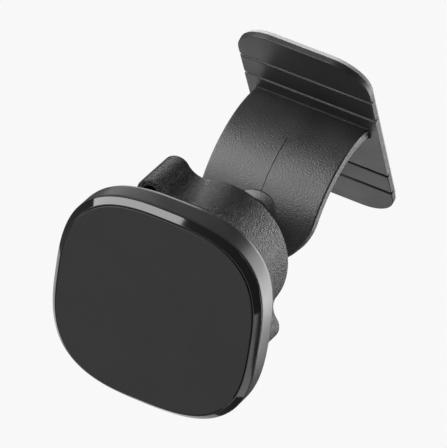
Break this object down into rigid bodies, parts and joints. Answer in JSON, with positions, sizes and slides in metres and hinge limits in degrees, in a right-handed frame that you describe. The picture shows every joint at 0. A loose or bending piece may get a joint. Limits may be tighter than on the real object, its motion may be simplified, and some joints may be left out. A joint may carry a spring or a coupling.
{
  "type": "car phone mount",
  "caption": "Stick-on magnetic phone mount: hinged base plate, curved arm with a ball, and a squarish magnetic head clamped on it by a wing nut.",
  "frame": {"origin": "centre of the adhesive face of the base", "axes": "+Z out of the surface the mount is stuck to, -Y the way the head leans, X along the arm's width"},
  "size_m": [0.0452, 0.0764, 0.0766],
  "materials": {
    "bracket_plastic": "fine matte grain",
    "plate_plastic": "satin",
    "web_plastic": "satin",
    "foam": "closed-cell adhesive foam",
    "friction_rubber": "matte",
    "acetal": "satin",
    "collet_plastic": "satin",
    "screw_steel": "zinc plated",
    "nut_plastic": "coarse grain, semi-gloss",
    "shell_plastic": "satin",
    "bezel_gloss": "high gloss",
    "pad_rubber": "matte",
    "film": "adhesive film",
    "tray_plastic": "satin",
    "magnet": "nickel plated",
    "yoke_steel": "mill finish"
  },
  "bodies": {
    "base": {"bracket": "bracket_plastic", "centre_foam": "foam", "front_inner_web": "web_plastic", "back_inner_web": "web_plastic"},
    "front_flap": {"front_inner_flap": "plate_plastic", "front_inner_foam": "foam", "front_outer_web": "web_plastic"},
    "front_tip": {"front_outer_flap": "plate_plastic", "front_outer_foam": "foam"},
    "back_flap": {"back_inner_flap": "plate_plastic", "back_inner_foam": "foam", "back_outer_web": "web_plastic"},
    "back_tip": {"back_outer_flap": "plate_plastic", "back_outer_foam": "foam"},
    "swivel": {"friction_cap": "friction_rubber"},
    "tilter": {"pressure_disc": "acetal"},
    "head": {"rear_shell": "shell_plastic", "bezel": "bezel_gloss", "face_pad": "pad_rubber", "pad_film": "film", "magnet_tray": "tray_plastic", "magnet_1": "magnet", "magnet_2": "magnet", "magnet_3": "magnet", "magnet_4": "magnet", "steel_plate": "yoke_steel", "tray_screws": "screw_steel", "socket_collet": "collet_plastic", "collet_screws": "screw_steel"},
    "clamp": {"clamp_ring": "acetal"},
    "nut": {"wing_nut": "nut_plastic"}
  },
  "joints": [
    {"name": "front_inner_bend", "type": "hinge", "parent": "base", "child": "front_flap", "pos_m": [0, -0.01145, 0.00115], "axis": [1, 0, 0], "range_deg": [-15, 15], "stiffness_Nm_per_rad": 0.05, "deforming": ["front_inner_web"]},
    {"name": "front_outer_bend", "type": "hinge", "parent": "front_flap", "child": "front_tip", "pos_m": [0, -0.0188, 0.00115], "axis": [1, 0, 0], "range_deg": [-15, 15], "stiffness_Nm_per_rad": 0.05, "deforming": ["front_outer_web"]},
    {"name": "back_inner_bend", "type": "hinge", "parent": "base", "child": "back_flap", "pos_m": [0, 0.01145, 0.00115], "axis": [1, 0, 0], "range_deg": [-15, 15], "stiffness_Nm_per_rad": 0.05, "deforming": ["back_inner_web"]},
    {"name": "back_outer_bend", "type": "hinge", "parent": "back_flap", "child": "back_tip", "pos_m": [0, 0.0188, 0.00115], "axis": [1, 0, 0], "range_deg": [-15, 15], "stiffness_Nm_per_rad": 0.05, "deforming": ["back_outer_web"]},
    {"name": "ball_swivel", "type": "hinge", "parent": "base", "child": "swivel", "pos_m": [0, -0.01685, 0.04635], "axis": [0, -0.5402, 0.8415], "continuous": true},
    {"name": "ball_tilt", "type": "hinge", "parent": "swivel", "child": "tilter", "pos_m": [0, -0.01685, 0.04635], "axis": [1, 0, 0], "range_deg": [-30, 30]},
    {"name": "head_spin", "type": "hinge", "parent": "tilter", "child": "head", "pos_m": [0, -0.01685, 0.04635], "axis": [0, -0.5402, 0.8415], "continuous": true},
    {"name": "clamp_travel", "type": "slide", "parent": "head", "child": "clamp", "axis": [0, 0.5402, -0.8415], "range_m": [0, 0.002]},
    {"name": "nut_turn", "type": "hinge", "parent": "clamp", "child": "nut", "pos_m": [0, -0.01685, 0.04635], "axis": [0, 0.5402, -0.8415], "range_deg": [0, 360]}
  ],
  "couplings": [
    {"joint": "clamp_travel", "follows": "nut_turn", "m_per_rad": 0.00031831}
  ]
}
